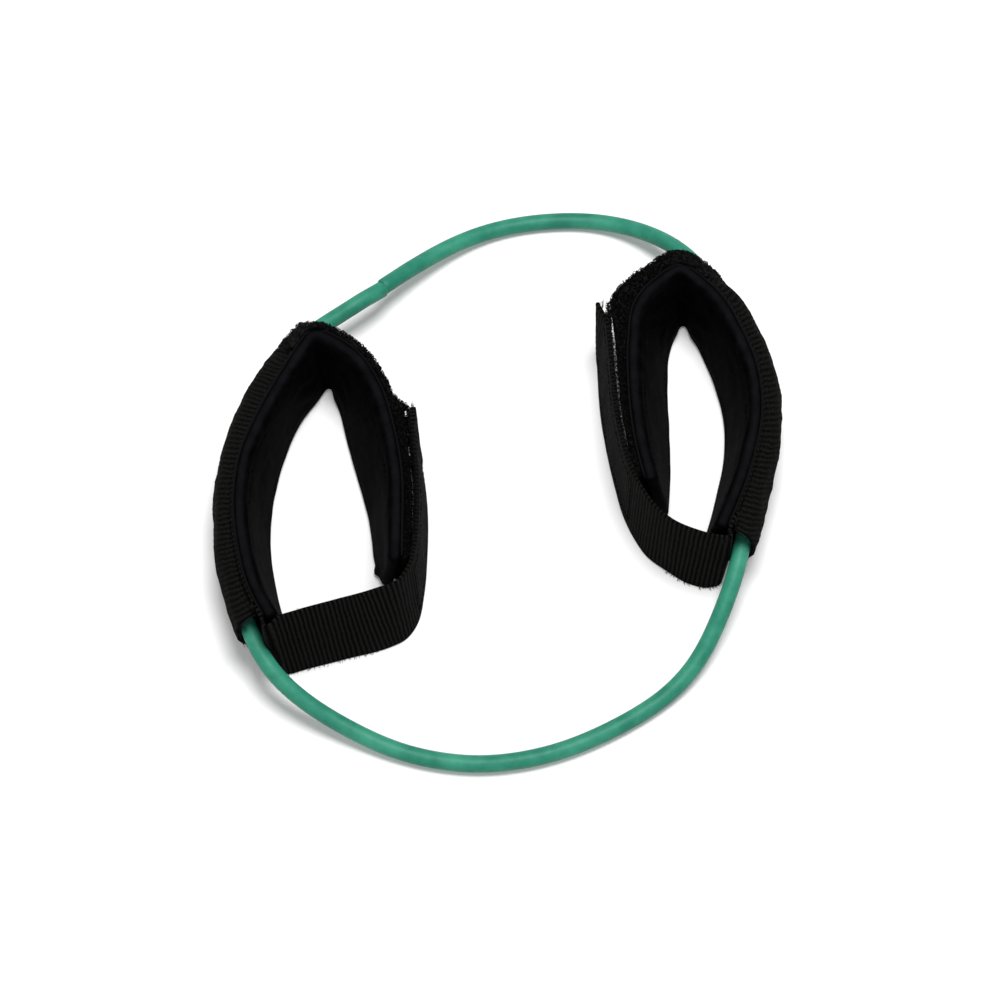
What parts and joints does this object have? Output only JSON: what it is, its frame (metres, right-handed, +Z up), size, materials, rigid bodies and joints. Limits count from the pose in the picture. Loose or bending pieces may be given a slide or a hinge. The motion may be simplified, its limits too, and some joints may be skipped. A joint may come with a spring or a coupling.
{
  "type": "resistance loop band",
  "caption": "Elastic latex tube loop threaded through two padded ankle cuffs with hook and pile closing straps.",
  "frame": {"origin": "Centre of the bounding box of the two cuffs, on the floor they stand on", "axes": "+Z up; +X from the left cuff to the right cuff; +Y away from the picture's camera"},
  "size_m": [0.2586, 0.2877, 0.05],
  "materials": {
    "latex": "satin",
    "cloth": "matte",
    "foam": "matte",
    "webbing": "matte",
    "pile": "matte",
    "hooks": "matte",
    "plug": "satin"
  },
  "bodies": {
    "left_cuff": {"latex_tube": "latex", "tube_joint_plug": "plug", "left_pad_lining": "cloth", "left_foam_core": "foam", "left_pad_backing": "cloth", "left_tube_sleeve": "webbing", "left_pile_tape": "pile", "left_closing_strap": "webbing"},
    "right_cuff": {"right_pad_lining": "cloth", "right_foam_core": "foam", "right_pad_backing": "cloth", "right_tube_sleeve": "webbing", "right_pile_tape": "pile", "right_closing_strap": "webbing"},
    "left_tail": {"left_strap_tail": "webbing", "left_hook_tape": "hooks"},
    "right_tail": {"right_strap_tail": "webbing", "right_hook_tape": "hooks"}
  },
  "joints": [
    {"name": "cuff_spread", "type": "slide", "parent": "left_cuff", "child": "right_cuff", "axis": [1, 0, 0], "range_m": [0, 0.25], "stiffness_N_per_m": 60, "deforming": ["latex_tube"]},
    {"name": "left_tail_peel", "type": "hinge", "parent": "left_cuff", "child": "left_tail", "pos_m": [-0.0395, -0.07969, 0], "axis": [0, 0, -1], "range_deg": [0, 90]},
    {"name": "right_tail_peel", "type": "hinge", "parent": "right_cuff", "child": "right_tail", "pos_m": [0.06324, -0.03471, 0], "axis": [0, 0, 1], "range_deg": [0, 50]}
  ]
}
